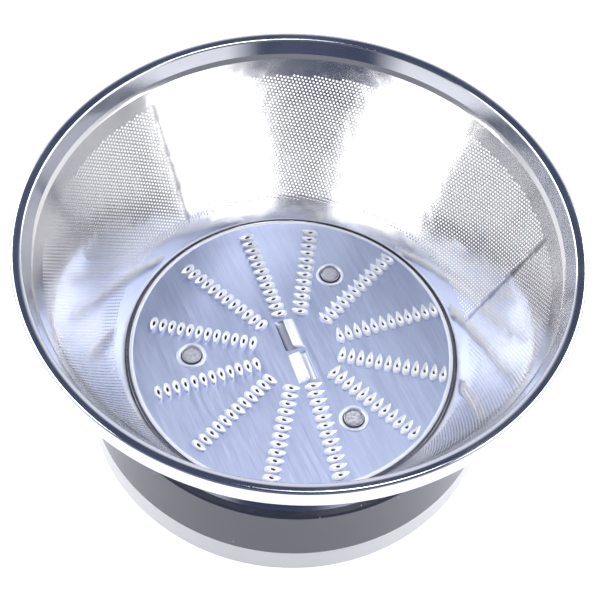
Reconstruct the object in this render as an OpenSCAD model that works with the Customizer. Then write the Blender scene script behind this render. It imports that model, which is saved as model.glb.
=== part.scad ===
// Filter basket of a centrifugal juicer: a spinning steel sieve with a grater
// disc in its floor, carried by a moulded base that drops onto the motor drive.
// Millimetres, +Z up, origin on the spin axis at the bottom edge of the base.

/* [Basket] */
// Outside diameter of the rolled rim
rim_d = 165; // [140:1:200]
// Height from the bottom of the base to the top of the rim
overall_h = 82; // [72:1:100]
// Height of the grater disc's top face
floor_h = 24.6; // [21:0.2:30]
// Lean of the filter wall from vertical, in degrees
wall_lean = 25; // [18:0.5:28]

/* [Rim] */
// Radial width of the rolled rim
rim_w = 5.4; // [4:0.1:8]
// Height of the rim's outer skirt
rim_skirt_h = 6.6; // [5:0.1:10]
// Height of the rim's inner lip
rim_lip_h = 4.4; // [3:0.1:4.6]
// Lean of the lip's inner face, from bottom to top
lip_lean = 1.6; // [0.4:0.1:2]
// Radius of the rim's rounded shoulders
rim_round = 0.9; // [0.7:0.1:1.1]
// Sheet thickness of the rim
rim_sheet = 0.6; // [0.4:0.1:0.6]
// Reach of the curl at the skirt's lower edge
rim_curl = 1.6; // [1:0.1:2]

/* [Filter wall] */
// Sheet thickness of the filter wall
wall_sheet = 0.5; // [0.3:0.1:0.8]
// Height of the step that takes the wall behind the rim's lip
wall_step = 1.6; // [1.2:0.1:2.5]
// Width of the flange under the grater disc
wall_flange_w = 3; // [2:0.2:4]
// Width of the welded overlap where the sheet closes on itself
seam_w = 6.2; // [4:0.2:10]
// Thickness of the overlap's inner layer
seam_sheet = 0.3; // [0.2:0.1:0.5]
// Angle of the overlap's edge, anticlockwise from +X
seam_angle = 69.8; // [0:0.1:360]

/* [Grater disc] */
// Thickness of the grater disc
disc_sheet = 0.8; // [0.6:0.1:1.2]
// Number of rows of teeth
rows = 12; // [6:1:14]
// Angle of the first row, anticlockwise from +X
row_angle = 23.3; // [0:0.1:30]
// Radius of the innermost tooth
row_start_r = 14.6; // [14:0.2:20]
// Distance between teeth along a row
tooth_pitch = 2.93; // [2.6:0.05:4]
// Smallest distance from the last tooth to the edge of the disc
row_end_gap = 4.6; // [3:0.2:10]
// Length of a tooth, from its round back to its tip
tooth_len = 5; // [3:0.1:6]
// Width of a tooth
tooth_w = 2.3; // [1.6:0.1:2.5]
// Height of a tooth's tip above the disc
tooth_h = 1.7; // [1:0.1:2.5]
// Length of each of the two middle cutters
cutter_len = 11.4; // [8:0.2:12]
// Width of each middle cutter
cutter_w = 5.4; // [4:0.1:7]
// Height of a middle cutter's edge above the disc
cutter_h = 1.5; // [1:0.1:2.5]

/* [Rivets] */
// Number of rivets through the grater disc
rivet_count = 3; // [3:1:4]
// Radius of the circle that the rivets stand on
rivet_circle_r = 31.8; // [24:0.2:36]
// Place of a rivet between two rows, from 0 at one row to 1 at the next
rivet_place = 0.59; // [0.42:0.01:0.59]
// Diameter of a rivet's head
rivet_head_d = 6.4; // [5:0.1:8]
// Diameter of a rivet's shank
rivet_shank_d = 4; // [3:0.1:4.5]
// Height of a rivet's head
rivet_head_h = 0.9; // [0.6:0.1:1.5]
// Diameter of the raised ring pressed into the disc around a rivet
rivet_ring_d = 10.4; // [9.6:0.1:12]
// Height of that ring
rivet_ring_h = 0.5; // [0.2:0.1:0.8]
// Outside diameter of a rivet's washer
washer_d = 9; // [8:0.5:12]
// Thickness of a rivet's washer
washer_t = 1; // [0.6:0.1:1.5]

/* [Foot collar] */
// Sheet thickness of the clamp collar around the foot of the wall
collar_sheet = 0.8; // [0.6:0.1:1.2]
// Height that the collar climbs up the wall
collar_rise = 4.4; // [3:0.2:6]
// Radial width of the collar's flat flange
collar_flange_w = 5.4; // [3:0.2:7]

/* [Carrier] */
// Height of the carrier's outer wall
carrier_h = 16.7; // [14:0.1:18]
// Thickness of the carrier's outer wall
carrier_wall = 2.4; // [1.8:0.1:3]
// Width that the carrier's outer wall flares by, from top to bottom
carrier_flare = 3.1; // [1:0.1:5]
// Height that the carrier's wall stands above the grater disc
carrier_lip = 2.4; // [1:0.1:4]
// Thickness of the carrier's floor
carrier_floor_t = 2.6; // [2:0.1:3.5]
// Diameter of the carrier's middle spigot
spigot_d = 20; // [16:0.5:24]
// Length of the carrier's middle spigot
spigot_len = 2; // [1:0.2:2.4]

/* [Base] */
// Width that the base's outer wall flares by, from top to bottom
base_flare = 0.9; // [0:0.1:2]
// Thickness of the base's outer wall
base_wall = 2.4; // [1.8:0.1:3]
// Height of the shadow groove between carrier and base
groove_h = 0.5; // [0.2:0.1:1]
// Thickness of the base's web
web_t = 2.6; // [2:0.1:3.5]
// Number of ribs between two neighbouring screws
ribs_per_gap = 2; // [1:1:4]
// Thickness of a rib
rib_t = 2; // [1.5:0.1:3]
// Depth of a rib below the web
rib_h = 3; // [2:0.1:4]
// Outside diameter of the hub tube
hub_d = 30; // [26:0.5:34]
// Height of the hub tube's lower end above the bottom of the base
hub_rise = 1.5; // [0.5:0.1:3]
// Thickness of the hub's shoulder between the bush and the carrier's spigot
hub_shoulder_t = 1.9; // [1:0.1:3]

/* [Drive bush] */
// Diameter of the round bore that pilots the drive shaft
drive_bore_d = 8; // [6:0.1:10]
// Width across the flats of the hexagon that the drive turns
drive_hex_af = 13; // [12:0.1:14]
// Depth of that hexagon
drive_hex_depth = 6; // [4:0.5:7]
// Width across the flats of the bush's outside
bush_af = 19; // [17:0.5:20]

/* [Screws] */
// Number of screws that hold the base to the carrier
screw_count = 3; // [3:1:6]
// Distance from the base's inner wall to the circle that the screws stand on
screw_inset = 14.9; // [10:0.1:20]
// Diameter of a screw's thread
screw_d = 4; // [3:0.1:4.5]
// Diameter of a screw's head
screw_head_d = 7.6; // [6:0.1:8]
// Height of a screw's head
screw_head_h = 2.4; // [2:0.1:3]
// Length of a screw below its head
screw_len = 9; // [8:0.5:10]
// Outside diameter of the carrier's screw posts
post_d = 9; // [8:0.1:11]

/* [Fits] */
// Bevel on the outer edges of the moulded pieces
edge_break = 0.6; // [0.3:0.1:1]
// Gap between the grater disc and the wall
disc_gap = 0.4; // [0.2:0.1:1]
// Gap between pieces that seat in each other
seat_gap = 0.1; // [0.05:0.05:0.3]

/* [Hidden] */
$fn = 96;
eps = 0.01;

lean = tan(wall_lean);
wall_t = wall_sheet / cos(wall_lean);   // sheet thickness measured level
rim_r = rim_d / 2;
lip_r = rim_r - rim_w;                  // inner face of the rim's lip
lip_z = overall_h - rim_lip_h;
disc_z = floor_h - disc_sheet;          // underside of the grater disc
foot_r = lip_r - (lip_z - disc_z) * lean;
disc_r = foot_r - disc_gap;
flange_z = disc_z - wall_sheet;         // where the wall's flange seats on the carrier
carrier_floor_z = flange_z - carrier_floor_t;
carrier_top_z = floor_h + carrier_lip;
carrier_bottom_z = carrier_top_z - carrier_h;
collar_z = flange_z + seat_gap;         // underside of the collar's flange
collar_in_r = foot_r + (collar_z - disc_z) * lean + wall_t + seat_gap;
collar_t = collar_sheet / cos(wall_lean);
collar_out_r = collar_in_r + collar_t + collar_flange_w;
carrier_top_r = collar_out_r + seat_gap + carrier_wall;
carrier_bottom_r = carrier_top_r + carrier_flare;
base_top_z = carrier_bottom_z - groove_h;
base_bottom_r = carrier_bottom_r + 0.2;
base_top_r = base_bottom_r - base_flare;
register_z = carrier_bottom_z + 3;      // top of the ring that enters the carrier
web_z = register_z - web_t;
teeth_per_row = floor((disc_r - row_end_gap - row_start_r) / tooth_pitch) + 1;
hub_r = hub_d / 2;
hub_top_z = carrier_floor_z - seat_gap;
bush_top_z = hub_top_z - spigot_len - hub_shoulder_t - 2 * seat_gap;

// Inner face of the filter wall at height z
function wall_r(z) = foot_r + (z - disc_z) * lean;

// Inner face of the carrier's wall at height z
function carrier_in_r(z) =
    carrier_top_r - carrier_wall + carrier_flare * (carrier_top_z - z) / carrier_h;

// Inner face of the carrier's wall where the base's register ring enters it
register_r = carrier_in_r(register_z) - seat_gap;
neck_r = register_r - base_wall;        // inner wall of the base
screw_circle_r = neck_r - screw_inset;

// Angle of rivet i: it stands in the gap between two rows that is nearest to an even spacing
function rivet_angle(i) =
    row_angle + (1 + round(i * rows / rivet_count) + rivet_place) * 360 / rows;
screw_angle = rivet_angle(0) + 60;

// Points of a quarter turn of radius r about [x, y], from angle a0 to a1
function arc(x, y, r, a0, a1, steps = 8) =
    [for (i = [0 : steps]) let (a = a0 + (a1 - a0) * i / steps) [x + r * cos(a), y + r * sin(a)]];

module at_screws() {
    for (i = [0 : screw_count - 1])
        rotate([0, 0, screw_angle + i * 360 / screw_count])
            translate([screw_circle_r, 0, 0]) children();
}

module at_rivets() {
    for (i = [0 : rivet_count - 1])
        rotate([0, 0, rivet_angle(i)]) translate([rivet_circle_r, 0, 0]) children();
}

// Rolled channel that closes over the top edge of the filter wall
module rim_ring() {
    skirt_z = overall_h - rim_skirt_h;
    inner = rim_round - rim_sheet;
    curl_r = rim_curl / 2;
    color([0.80, 0.81, 0.84]) rotate_extrude($fn = 180)
        polygon(concat(
            [[lip_r, lip_z]],
            arc(lip_r + rim_round + lip_lean, overall_h - rim_round, rim_round, 180, 90),
            arc(rim_r - rim_round, overall_h - rim_round, rim_round, 90, 0),
            arc(rim_r - curl_r, skirt_z + curl_r, curl_r, 0, -180),
            [[rim_r - rim_curl + rim_sheet, skirt_z + curl_r]],
            arc(rim_r - curl_r, skirt_z + curl_r, curl_r - rim_sheet, -180, 0),
            arc(rim_r - rim_round, overall_h - rim_round, inner, 0, 90),
            arc(lip_r + rim_round + lip_lean, overall_h - rim_round, inner, 90, 180),
            [[lip_r + rim_sheet, lip_z]]));
}

// Etched sheet rolled into a cone: wall, top edge inside the rim, flange under the disc
module filter_wall() {
    top_z = overall_h - rim_sheet;      // the top edge stands against the rim's crown
    top_r = lip_r + lip_lean + rim_round + seat_gap;
    step_z = lip_z - wall_step;         // where the wall steps out behind the rim's lip
    step_r = lip_r + rim_sheet + 2 * seat_gap;
    seam_deg = seam_w / wall_r(overall_h - 20) * 180 / PI;
    low_z = floor_h + 0.4;
    high_z = step_z - 0.4;
    color([0.86, 0.87, 0.90]) union() {
        rotate_extrude($fn = 180)
            polygon([
                [foot_r - wall_flange_w, flange_z],
                [wall_r(flange_z) + wall_t, flange_z],
                [wall_r(step_z) + wall_t, step_z],
                [step_r + wall_t, lip_z - seat_gap],
                [top_r + wall_t, top_z],
                [top_r, top_z],
                [step_r, lip_z - seat_gap],
                [wall_r(step_z), step_z],
                [foot_r, disc_z],
                [foot_r - wall_flange_w, disc_z]]);
        rotate([0, 0, seam_angle]) rotate_extrude(angle = seam_deg, $fn = 180)
            polygon([
                [wall_r(low_z) + wall_t / 2, low_z],
                [wall_r(high_z) + wall_t / 2, high_z],
                [wall_r(high_z) - seam_sheet, high_z],
                [wall_r(low_z) - seam_sheet, low_z]]);
    }
}

// Clamp ring pressed over the foot of the wall and seated in the carrier
module foot_collar() {
    rise_z = collar_z + collar_sheet + collar_rise;
    knee_z = collar_z + collar_sheet;
    color([0.78, 0.79, 0.82]) rotate_extrude($fn = 180)
        polygon([
            [collar_in_r, collar_z],
            [collar_out_r, collar_z],
            [collar_out_r, knee_z],
            [wall_r(knee_z) + wall_t + seat_gap + collar_t, knee_z],
            [wall_r(rise_z) + wall_t + seat_gap + collar_t, rise_z],
            [wall_r(rise_z) + wall_t + seat_gap, rise_z]]);
}

// One raised tooth over its hole, pointing anticlockwise (+Y here)
module tooth() {
    half = tooth_w / 2;
    back = -tooth_len / 2;
    tip = tooth_len / 2;
    intersection() {
        translate([-half, 0, 0]) rotate([90, 0, 90]) linear_extrude(tooth_w)
            polygon([[back, -disc_sheet / 2], [back, 0.1], [back + 0.7, 0.9], [tip, tooth_h],
                     [0.4, 0.15], [0, -disc_sheet / 2]]);
        translate([0, 0, -disc_sheet]) linear_extrude(tooth_h + 2 * disc_sheet)
            polygon([[-half, back], [half, back], [half, back + 1.8], [0, tip], [-half, back + 1.8]]);
    }
}

// One middle cutter: a ramp that rises to an edge on its anticlockwise side
module cutter() {
    rotate([90, 0, 90]) linear_extrude(cutter_len)
        polygon([[-cutter_w / 2, -disc_sheet / 2], [-cutter_w / 2, 0],
                 [cutter_w / 2 - 1.6, cutter_h], [cutter_w / 2 - 1.2, cutter_h],
                 [cutter_w / 2 - 1.2, cutter_h - disc_sheet / 2], [-cutter_w / 2 + 2, -disc_sheet / 2]]);
}

// Pressed steel disc: twelve rows of teeth, two middle cutters, a ring at each rivet
module grater_disc() {
    hole_y = tooth_len * 0.12;
    color([0.74, 0.78, 0.86]) union() {
        difference() {
            translate([0, 0, disc_z]) cylinder(r = disc_r, h = disc_sheet, $fn = 180);
            for (k = [0 : rows - 1]) rotate([0, 0, row_angle + k * 360 / rows])
                for (i = [0 : teeth_per_row - 1])
                    translate([row_start_r + i * tooth_pitch, hole_y, disc_z - eps])
                        cylinder(d = tooth_w * 0.62, h = disc_sheet + 2 * eps, $fn = 16);
            at_rivets()
                translate([0, 0, disc_z - eps])
                    cylinder(d = rivet_shank_d + 2 * seat_gap, h = disc_sheet + 2 * eps);
            for (side = [0, 180]) rotate([0, 0, row_angle + 90 + side])
                translate([0.9, cutter_w / 2 - 1.8, disc_z - eps])
                    cube([cutter_len - 0.8, 1.6, disc_sheet + 2 * eps]);
        }
        for (k = [0 : rows - 1]) rotate([0, 0, row_angle + k * 360 / rows])
            for (i = [0 : teeth_per_row - 1])
                translate([row_start_r + i * tooth_pitch, 0, floor_h]) tooth();
        for (side = [0, 180]) rotate([0, 0, row_angle + 90 + side])
            translate([0.5, 0, floor_h]) cutter();
        at_rivets()
            translate([0, 0, floor_h - eps]) difference() {
                cylinder(d = rivet_ring_d, h = rivet_ring_h + eps);
                translate([0, 0, -eps])
                    cylinder(d = rivet_head_d + 2 * seat_gap + 0.4, h = rivet_ring_h + 3 * eps);
            }
    }
}

// Rivets through disc and carrier floor, peened over their washers
module rivets() {
    tail_z = carrier_floor_z - washer_t - seat_gap;
    color([0.62, 0.63, 0.66]) at_rivets() union() {
        translate([0, 0, tail_z]) cylinder(d = rivet_shank_d, h = floor_h + seat_gap - tail_z);
        translate([0, 0, floor_h + seat_gap / 2]) cylinder(d = rivet_head_d, h = rivet_head_h);
        translate([0, 0, tail_z - 0.9])
            cylinder(d1 = rivet_shank_d + 0.8, d2 = rivet_shank_d + 2, h = 0.9);
    }
}

module rivet_washers() {
    color([0.70, 0.71, 0.73]) at_rivets()
        translate([0, 0, carrier_floor_z - washer_t - seat_gap / 2]) difference() {
            cylinder(d = washer_d, h = washer_t);
            translate([0, 0, -eps])
                cylinder(d = rivet_shank_d + 2 * seat_gap, h = washer_t + 2 * eps);
        }
}

// Black moulded tray under the disc, with the tall outer band
module carrier() {
    post_z = web_z + web_t + seat_gap;
    pad_r = foot_r - wall_flange_w - seat_gap;  // the pad that the disc lies on
    color([0.13, 0.13, 0.15]) difference() {
        union() {
            rotate_extrude($fn = 180)
                polygon([
                    [0, carrier_floor_z],
                    [carrier_in_r(carrier_floor_z), carrier_floor_z],
                    [carrier_in_r(carrier_bottom_z), carrier_bottom_z],
                    [carrier_bottom_r, carrier_bottom_z],
                    [carrier_top_r, carrier_top_z - edge_break],
                    [carrier_top_r - edge_break, carrier_top_z],
                    [carrier_top_r - carrier_wall, carrier_top_z],
                    [carrier_top_r - carrier_wall, flange_z],
                    [pad_r, flange_z],
                    [pad_r, disc_z],
                    [0, disc_z]]);
            translate([0, 0, carrier_floor_z - spigot_len])
                cylinder(d = spigot_d, h = spigot_len + eps);
            at_screws()
                translate([0, 0, post_z]) cylinder(d = post_d, h = carrier_floor_z - post_z + eps);
        }
        at_rivets()
            translate([0, 0, carrier_floor_z - eps])
                cylinder(d = rivet_shank_d + 2 * seat_gap, h = disc_z - carrier_floor_z + 2 * eps);
        at_screws()
            translate([0, 0, post_z - eps])
                cylinder(d = screw_d + 2 * seat_gap, h = screw_len - web_t + 0.5);
    }
}

// White moulded base: outer ring, web, ribs and the hub tube around the drive
module base_hub() {
    hub_overlap = 2;                    // how far the web runs into the hub tube
    color([0.90, 0.90, 0.92]) difference() {
        union() {
            rotate_extrude($fn = 180)
                polygon([
                    [base_bottom_r - base_wall, 0],
                    [base_bottom_r - edge_break, 0],
                    [base_bottom_r, edge_break],
                    [base_top_r, base_top_z],
                    [register_r, base_top_z],
                    [register_r, register_z],
                    [hub_r - hub_overlap, register_z],
                    [hub_r - hub_overlap, web_z],
                    [neck_r, web_z],
                    [neck_r, base_top_z - base_wall],
                    [base_bottom_r - base_wall, base_top_z - base_wall]]);
            translate([0, 0, hub_rise]) cylinder(d = hub_d, h = hub_top_z - hub_rise);
            for (i = [0 : screw_count * ribs_per_gap - 1])
                rotate([0, 0, screw_angle + (i + 0.5) * 360 / (screw_count * ribs_per_gap)])
                    translate([hub_r - 1, -rib_t / 2, web_z - rib_h])
                        cube([neck_r + base_wall / 2 - hub_r + 1, rib_t, rib_h + eps]);
        }
        translate([0, 0, hub_rise - eps])
            cylinder(d = bush_af * 2 / sqrt(3), h = bush_top_z - hub_rise + seat_gap, $fn = 6);
        translate([0, 0, hub_top_z - spigot_len - seat_gap])
            cylinder(d = spigot_d + 2 * seat_gap, h = spigot_len + seat_gap + eps);
        at_screws()
            translate([0, 0, web_z - eps])
                cylinder(d = screw_d + 2 * seat_gap, h = web_t + 2 * eps);
    }
}

// Steel bush in the hub: hexagon for the drive below, pilot bore for the shaft above
module drive_bush() {
    hex_d = drive_hex_af * 2 / sqrt(3);
    color([0.66, 0.67, 0.70]) difference() {
        translate([0, 0, hub_rise])
            cylinder(d = (bush_af - 2 * seat_gap) * 2 / sqrt(3), h = bush_top_z - hub_rise, $fn = 6);
        translate([0, 0, hub_rise - eps])
            cylinder(d = hex_d, h = drive_hex_depth + eps, $fn = 6);
        translate([0, 0, hub_rise + drive_hex_depth - eps])
            cylinder(d = drive_bore_d, h = bush_top_z - hub_rise - drive_hex_depth + 2 * eps);
    }
}

module base_screws() {
    color([0.60, 0.61, 0.64]) at_screws() difference() {
        union() {
            translate([0, 0, web_z - screw_head_h - seat_gap / 2])
                cylinder(d = screw_head_d, h = screw_head_h);
            translate([0, 0, web_z - seat_gap / 2 - eps])
                cylinder(d = screw_d, h = screw_len);
        }
        translate([0, 0, web_z - screw_head_h - seat_gap / 2 - eps])
            cylinder(d = 3.4, h = 1.4, $fn = 6);
    }
}

rim_ring();
filter_wall();
foot_collar();
grater_disc();
rivets();
rivet_washers();
carrier();
base_hub();
drive_bush();
base_screws();
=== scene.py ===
# %% [markdown]
# # The filter basket of a centrifugal juicer
# The basket is a spinning sieve. A sheet of steel, etched with thousands of fine holes, is rolled into a
# cone and welded along one line. A rolled rim stiffens its mouth, and a grater disc is riveted in its floor.
# Under the disc are a black moulded carrier and a white base that drops onto the motor.
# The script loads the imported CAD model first. Every piece that it adds lies in that model's own frame.

# %% Load the frame
import math
import bpy
import numpy as np
from mathutils import Matrix, Vector
from mathutils.geometry import delaunay_2d_cdt


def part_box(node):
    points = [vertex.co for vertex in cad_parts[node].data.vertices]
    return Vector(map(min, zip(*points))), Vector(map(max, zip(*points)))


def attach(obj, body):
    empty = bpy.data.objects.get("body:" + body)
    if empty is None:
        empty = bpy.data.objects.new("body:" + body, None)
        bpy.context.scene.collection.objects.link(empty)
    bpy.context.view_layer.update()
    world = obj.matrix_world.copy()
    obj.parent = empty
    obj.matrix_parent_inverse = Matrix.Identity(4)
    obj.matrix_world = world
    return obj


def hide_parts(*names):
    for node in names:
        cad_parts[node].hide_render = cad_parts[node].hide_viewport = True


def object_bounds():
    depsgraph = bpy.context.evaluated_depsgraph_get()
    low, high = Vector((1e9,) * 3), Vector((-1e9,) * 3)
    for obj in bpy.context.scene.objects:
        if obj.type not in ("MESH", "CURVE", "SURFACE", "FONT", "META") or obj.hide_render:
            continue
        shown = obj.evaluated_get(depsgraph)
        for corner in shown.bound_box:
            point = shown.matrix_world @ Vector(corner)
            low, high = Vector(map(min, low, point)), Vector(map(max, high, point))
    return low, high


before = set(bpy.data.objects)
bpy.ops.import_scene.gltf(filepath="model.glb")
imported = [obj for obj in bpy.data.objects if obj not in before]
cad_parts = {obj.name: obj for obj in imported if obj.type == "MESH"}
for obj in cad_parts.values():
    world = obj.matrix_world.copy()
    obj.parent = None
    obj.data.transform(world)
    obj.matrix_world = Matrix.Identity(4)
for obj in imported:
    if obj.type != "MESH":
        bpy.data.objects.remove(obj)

cad_lo, cad_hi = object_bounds()

# %% [markdown]
# ## Driving dimensions
# Heights and radii come from the boxes of the CAD nodes, so the looks follow the model if it is packed again.
# Sheet thicknesses and the forms of the rim are named here, in metres, and each later step names its own.

# %% Sizes that the frame gives
MM = 0.001
rim_lo, rim_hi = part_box("rim_ring")
wall_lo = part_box("filter_wall")[0]
disc_lo, disc_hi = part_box("grater_disc")


def half_width(lo, hi):
    """Radius of a round node: half the smaller of its widths in X and Y."""
    return min(hi.x - lo.x, hi.y - lo.y) / 2


RIM_R = half_width(rim_lo, rim_hi)
RIM_TOP = rim_hi.z
DISC_R = half_width(disc_lo, disc_hi)
DISC_UNDER = disc_lo.z
SKIRT_Z = rim_lo.z
FLANGE_Z = wall_lo.z
print("rim radius %.2f, disc radius %.2f, rim top %.2f mm" % (RIM_R / MM, DISC_R / MM, RIM_TOP / MM))

# %% Sizes of the sheet metal
WALL_LEAN = math.radians(25)
WALL_SHEET = 0.5 * MM
RIM_W = 5.4 * MM
RIM_SHEET = 0.5 * MM
RIM_LIP_H = 4.4 * MM
RIM_ROUND = 1.0 * MM                                 # rounding between skirt and crown
CROWN_R = 6.2 * MM
CROWN_DEG = 16                                       # how far the crown has turned down at its inner end
CROWN_SHIFT = 0.3 * MM                               # from the rounding's centre in to the crown's centre
KNEE_ROUND = 0.9 * MM                                # bend from the crown down into the lip
KNEE_END_DEG = 152
WALL_TOP_INSET = 2.6 * MM                            # from the skirt in to the wall's top edge
RIM_CURL = 1.6 * MM
WALL_STEP = 1.6 * MM
DISC_SHEET = 0.8 * MM
DISC_GAP = 0.4 * MM
SEAT_GAP = 0.1 * MM
FLANGE_W = 3 * MM

FLOOR_Z = DISC_UNDER + DISC_SHEET                    # top face of the grater disc
LIP_Z = RIM_TOP - RIM_LIP_H
FOOT_R = DISC_R + DISC_GAP
WALL_T = WALL_SHEET / math.cos(WALL_LEAN)            # the sheet measured level
print("disc's top face %.2f, lip's lower edge %.2f mm" % (FLOOR_Z / MM, LIP_Z / MM))


def wall_r(z):
    """Radius of the wall's inner face at height z: a straight cone from the foot."""
    return FOOT_R + (z - DISC_UNDER) * math.tan(WALL_LEAN)


# %% [markdown]
# ## Helpers that put arrays into meshes
# Each shape below is worked out as whole numpy arrays, and these helpers put the arrays into a mesh.
# A profile turned about the axis is a grid: one parameter runs round the axis, the other along the profile.

# %% Mesh helpers
def put_mesh(name, points, groups, sharp_deg=35, flat_faces=0, tone=None):
    """New object from an array of points and groups of polygons, where a group is one array, a row per
    polygon. Edges that turn more than sharp_deg stay sharp, and the first flat_faces faces are flat. tone is
    a value per point that the finishes read: towards 1 it paints a highlight and towards -1 it paints
    shade, except on the filter's fields, where a negative tone draws the dark line between them."""
    loops = np.concatenate([np.asarray(g).ravel() for g in groups]).astype(np.int32)
    sizes = np.concatenate([np.full(len(g), np.asarray(g).shape[1]) for g in groups])
    mesh = bpy.data.meshes.new(name)
    mesh.vertices.add(len(points))
    mesh.vertices.foreach_set("co", np.asarray(points, np.float32).ravel())
    mesh.loops.add(len(loops))
    mesh.loops.foreach_set("vertex_index", loops)
    mesh.polygons.add(len(sizes))
    mesh.polygons.foreach_set("loop_start", (np.cumsum(sizes) - sizes).astype(np.int32))
    mesh.update(calc_edges=True)
    mesh.set_sharp_from_angle(angle=math.radians(sharp_deg))
    mesh.polygons.foreach_set("use_smooth", np.arange(len(mesh.polygons)) >= flat_faces)
    if tone is not None:
        mesh.attributes.new("tone", "FLOAT", "POINT").data.foreach_set("value", np.asarray(tone, np.float32))
    obj = bpy.data.objects.new(name, mesh)
    bpy.context.scene.collection.objects.link(obj)
    return obj


def grid_quads(rows, cols, wrap_cols=True, wrap_rows=False):
    """Quads of a rows x cols grid of points numbered row by row. A wrapped direction joins its ends."""
    r = np.arange(rows if wrap_rows else rows - 1)[:, None]
    c = np.arange(cols if wrap_cols else cols - 1)[None, :]
    a = r * cols + c
    b = r * cols + (c + 1) % cols
    d = ((r + 1) % rows) * cols + c
    e = ((r + 1) % rows) * cols + (c + 1) % cols
    return np.stack([a, b, e, d], -1).reshape(-1, 4)


def arc_points(x, z, r, a0, a1, steps=8):
    """Points on an arc of radius r about (x, z), from angle a0 to a1 in degrees."""
    a = np.radians(np.linspace(a0, a1, steps + 1))
    return np.stack([x + r * np.cos(a), z + r * np.sin(a)], -1)


def turned(profile, around=360):
    """Points of a profile of (radius, height) pairs turned about Z: x is radius times the cosine of the
    angle, y is radius times its sine. One row of points per profile point."""
    a = np.linspace(0, 2 * math.pi, around, endpoint=False)
    r, z = profile[:, :1], profile[:, 1:]
    return np.stack([r * np.cos(a), r * np.sin(a), z + 0 * a], -1).reshape(-1, 3)


def ring(name, profile, around=360, sharp_deg=35):
    """A closed profile turned into a ring. The profile runs anticlockwise in (radius, height), which makes
    the faces point outwards."""
    quads = grid_quads(len(profile), around, wrap_rows=True)
    return put_mesh(name, turned(profile, around), [quads], sharp_deg)


# %% [markdown]
# ## Camera
# The basket is looked down into from about 55 degrees above the horizon, with a long lens and the camera
# turned a little about its own axis. It comes first, because the lights are placed by what it sees reflected.

# %% Camera
CAMERA_ELEVATION = math.radians(54.58)
CAMERA_ROLL = math.radians(4.86)
CAMERA_DISTANCE = 0.4294
CAMERA_LENS = 90
AIM = Vector((0.0013, -0.0142, RIM_TOP - 0.0108))    # the point in the middle of the view


def add_camera():
    """The camera stands CAMERA_DISTANCE back from the aim point, along its own viewing direction. Its axes
    are right, up and back, and the first two turn by the roll."""
    forward = Vector((0, math.cos(CAMERA_ELEVATION), -math.sin(CAMERA_ELEVATION)))
    flat_right = Vector((1, 0, 0))
    flat_up = flat_right.cross(forward)
    right = flat_right * math.cos(CAMERA_ROLL) + flat_up * math.sin(CAMERA_ROLL)
    up = flat_up * math.cos(CAMERA_ROLL) - flat_right * math.sin(CAMERA_ROLL)
    data = bpy.data.cameras.new("camera")
    data.lens = CAMERA_LENS
    data.clip_start = 0.01
    camera = bpy.data.objects.new("camera", data)
    turn = Matrix((right, up, -forward)).transposed().to_4x4()
    camera.matrix_world = Matrix.Translation(AIM - forward * CAMERA_DISTANCE) @ turn
    bpy.context.scene.collection.objects.link(camera)
    bpy.context.scene.camera = camera
    print("camera at, mm:", [round(v / MM, 1) for v in camera.matrix_world.translation])


add_camera()

# %% [markdown]
# ## Shader helpers
# Every finish is a Principled shader with a few procedural nodes. An effect with a name of its own is a node
# group: straight brushing, specks of dust, and the painted highlights and shade, with the filter's dark line,
# that three of the steels share. Each puts out only masks, and the material that places it says what the
# mask does, so one group can serve several finishes.

# %% Node helpers
def new_material(name, **sockets):
    """A material with one Principled shader and plain values on its sockets."""
    material = bpy.data.materials.new(name)
    material.use_nodes = True
    shader = material.node_tree.nodes["Principled BSDF"]
    for socket, value in sockets.items():
        shader.inputs[socket.replace("_", " ")].default_value = value
    return material, material.node_tree, shader


def add_node(tree, kind, inputs=None, **settings):
    """A node of a kind. inputs maps a socket's name or number to a value or to the socket that feeds it."""
    node = tree.nodes.new(kind)
    for key, value in settings.items():
        setattr(node, key, value)
    for key, value in (inputs or {}).items():
        if isinstance(value, bpy.types.NodeSocket):
            tree.links.new(value, node.inputs[key])
        else:
            node.inputs[key].default_value = value
    return node


def object_coords(tree, turn_z=0.0, stretch=(1, 1, 1)):
    """Object coordinates turned about Z and stretched, as a vector socket."""
    place = tree.nodes.new("ShaderNodeTexCoord").outputs["Object"]
    mapping = add_node(tree, "ShaderNodeMapping", {"Vector": place, "Rotation": (0, 0, turn_z)})
    scaled = add_node(tree, "ShaderNodeVectorMath", {0: mapping.outputs[0], 1: stretch}, operation="MULTIPLY")
    return scaled.outputs[0]


def noise(tree, vector, scale, detail=2.0, rough=0.5):
    """The value of a noise texture, from 0 to 1."""
    values = {"Vector": vector, "Scale": scale, "Detail": detail, "Roughness": rough}
    return add_node(tree, "ShaderNodeTexNoise", values).outputs[0]


def remap(tree, value, lo, hi, to_lo, to_hi):
    """A value taken from the range lo to hi into the range to_lo to to_hi."""
    node = add_node(tree, "ShaderNodeMapRange", {0: value, 1: lo, 2: hi, 3: to_lo, 4: to_hi})
    return node.outputs[0]


def mix_colours(tree, factor, a, b):
    """Colour a where factor is 0, colour b where it is 1."""
    return add_node(tree, "ShaderNodeMix", {0: factor, 6: a, 7: b}, data_type="RGBA").outputs[2]


def bump(tree, shader, height, strength, distance):
    """Bump on the shader's normal from a height."""
    node = add_node(tree, "ShaderNodeBump", {"Height": height, "Strength": strength, "Distance": distance})
    tree.links.new(node.outputs[0], shader.inputs["Normal"])


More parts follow.
